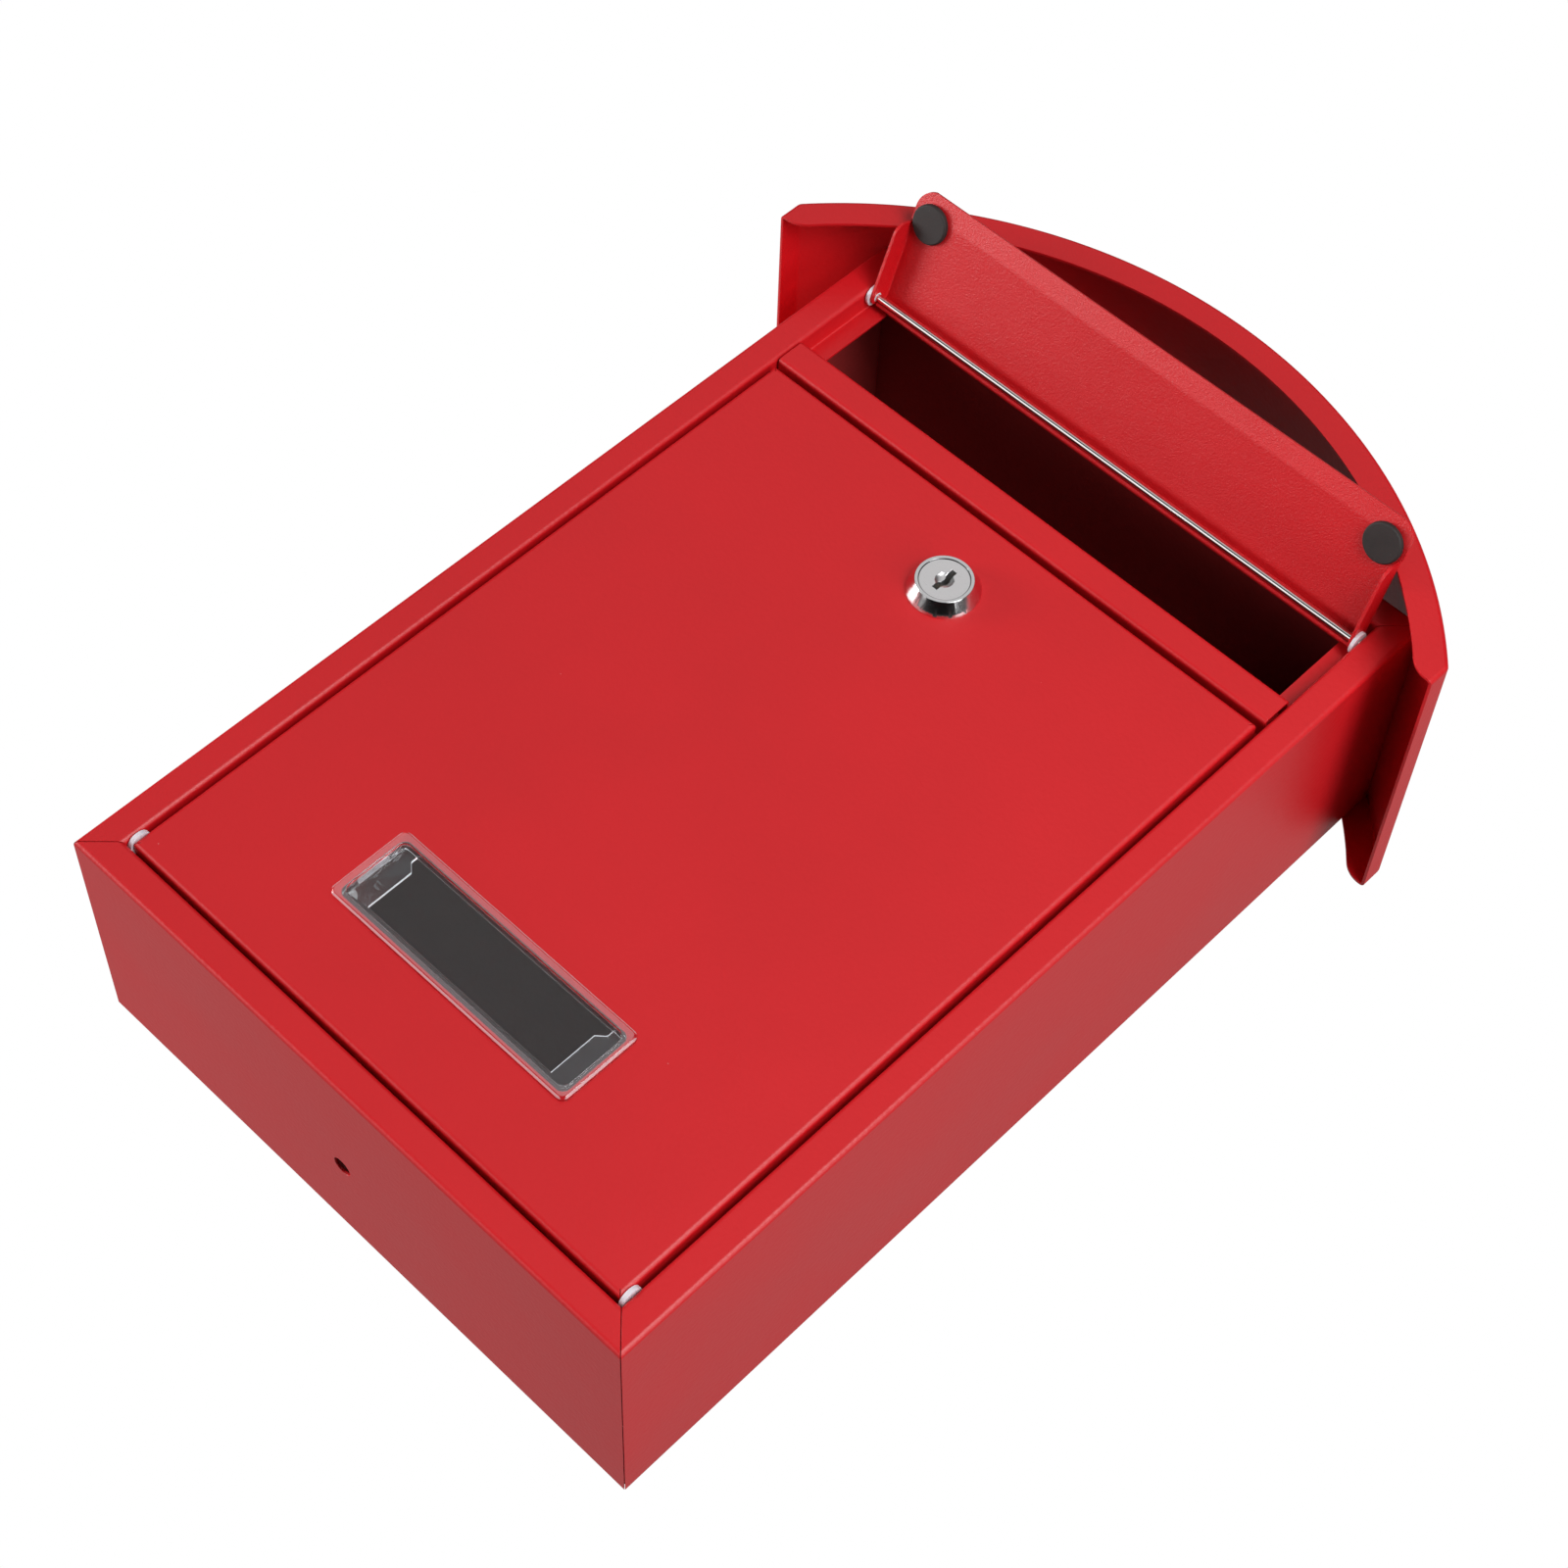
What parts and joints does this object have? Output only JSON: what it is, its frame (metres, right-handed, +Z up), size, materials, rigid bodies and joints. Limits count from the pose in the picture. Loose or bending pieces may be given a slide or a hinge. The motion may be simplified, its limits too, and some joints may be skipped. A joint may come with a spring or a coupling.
{
  "type": "wall mounted post box",
  "caption": "Folded steel wall post box with an arched roof, a hinged posting flap, a bottom hinged front door with a cam lock, and a clear name window.",
  "frame": {"origin": "middle of the four wall fixing holes, on the outer face of the back panel", "axes": "+Y from the front of the box into the wall, +Z up, +X to the right seen from the front"},
  "size_m": [0.255, 0.1191, 0.365],
  "materials": {
    "red_paint": "semi-gloss red powder coat on sheet steel",
    "bright_steel": "bright drawn steel rod",
    "white_nylon": "natural white nylon",
    "dark_rubber": "dark soft rubber",
    "clear_plastic": "clear moulded plastic",
    "lock_chrome": "bright chrome plate",
    "zinc_steel": "zinc plated steel",
    "brass": "plain brass"
  },
  "bodies": {
    "case": {"body_shell": "red_paint", "roof": "red_paint", "crossbar": "red_paint", "flap_rod": "bright_steel", "door_rod": "bright_steel"},
    "flap": {"flap_panel": "red_paint", "flap_bush_left": "white_nylon", "flap_bush_right": "white_nylon", "flap_pad_left": "dark_rubber", "flap_pad_right": "dark_rubber"},
    "door": {"door_panel": "red_paint", "door_bush_left": "white_nylon", "door_bush_right": "white_nylon", "name_window": "clear_plastic", "lock_housing": "lock_chrome", "lock_washer": "zinc_steel", "lock_nut": "zinc_steel"},
    "lock": {"lock_plug": "lock_chrome", "lock_wafers": "brass", "lock_cam": "zinc_steel", "cam_washer": "zinc_steel", "cam_screw": "zinc_steel"}
  },
  "joints": [
    {"name": "flap_swing", "type": "hinge", "parent": "case", "child": "flap", "pos_m": [0, -0.0839, 0.1433], "axis": [1, 0, 0], "range_deg": [0, 111.47]},
    {"name": "door_swing", "type": "hinge", "parent": "case", "child": "door", "pos_m": [0, -0.0833, -0.151], "axis": [1, 0, 0], "range_deg": [0, 105]},
    {"name": "lock_turn", "type": "hinge", "parent": "door", "child": "lock", "pos_m": [0, -0.0865, 0.07], "axis": [0, 1, 0], "range_deg": [0, 90]}
  ]
}
